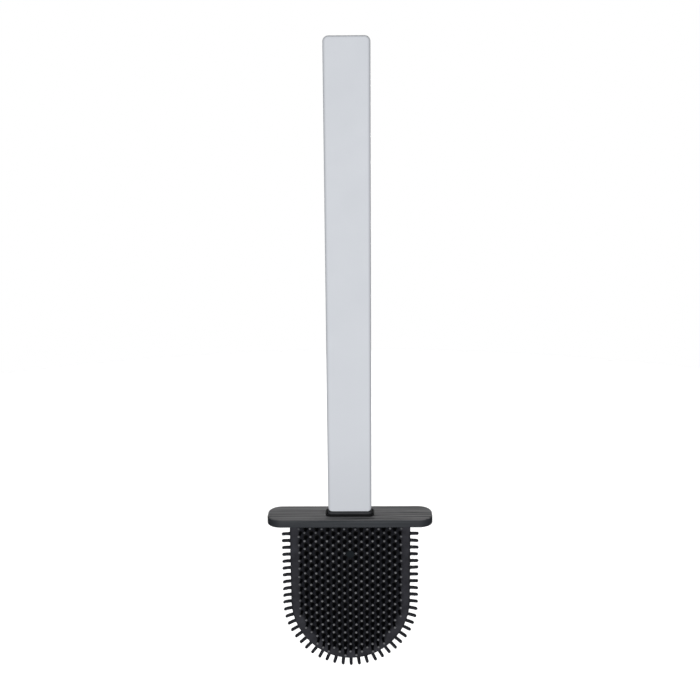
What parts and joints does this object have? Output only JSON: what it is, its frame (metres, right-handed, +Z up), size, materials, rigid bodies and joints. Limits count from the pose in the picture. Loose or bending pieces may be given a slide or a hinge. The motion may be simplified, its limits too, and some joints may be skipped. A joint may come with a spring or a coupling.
{
  "type": "toilet brush",
  "caption": "Flat toilet brush: slim rectangular handle, dark oval lid that closes a holder, and a soft round-ended head with bristles on both faces and around its edge.",
  "frame": {"origin": "middle of the lid's seat, the plane on which the lid rests on a holder's rim, on the handle's axis", "axes": "+Z up along the handle, away from the bristled head; +X across the handle's width; the front face looks along -Y"},
  "size_m": [0.1034, 0.0234, 0.3952],
  "materials": {
    "handle_plastic": "satin light grey",
    "stiffener_steel": "rolled strip",
    "foot_plastic": "dark grey, satin",
    "lid_plastic": "charcoal with a faint lengthwise grain",
    "seal_rubber": "black, matt",
    "core_plastic": "black, moulded",
    "brush_rubber": "black soft elastomer, slight sheen"
  },
  "bodies": {
    "head": {"lid_plate": "lid_plastic", "slot_seal": "seal_rubber", "head_core": "core_plastic", "brush_sleeve": "brush_rubber"},
    "handle": {"handle_front_shell": "handle_plastic", "handle_back_cover": "handle_plastic", "handle_stiffener": "stiffener_steel", "handle_foot": "foot_plastic"}
  },
  "joints": [
    {"name": "handle_pull_off", "type": "slide", "parent": "head", "child": "handle", "axis": [0, 0, 1], "range_m": [0, 0.026]}
  ]
}
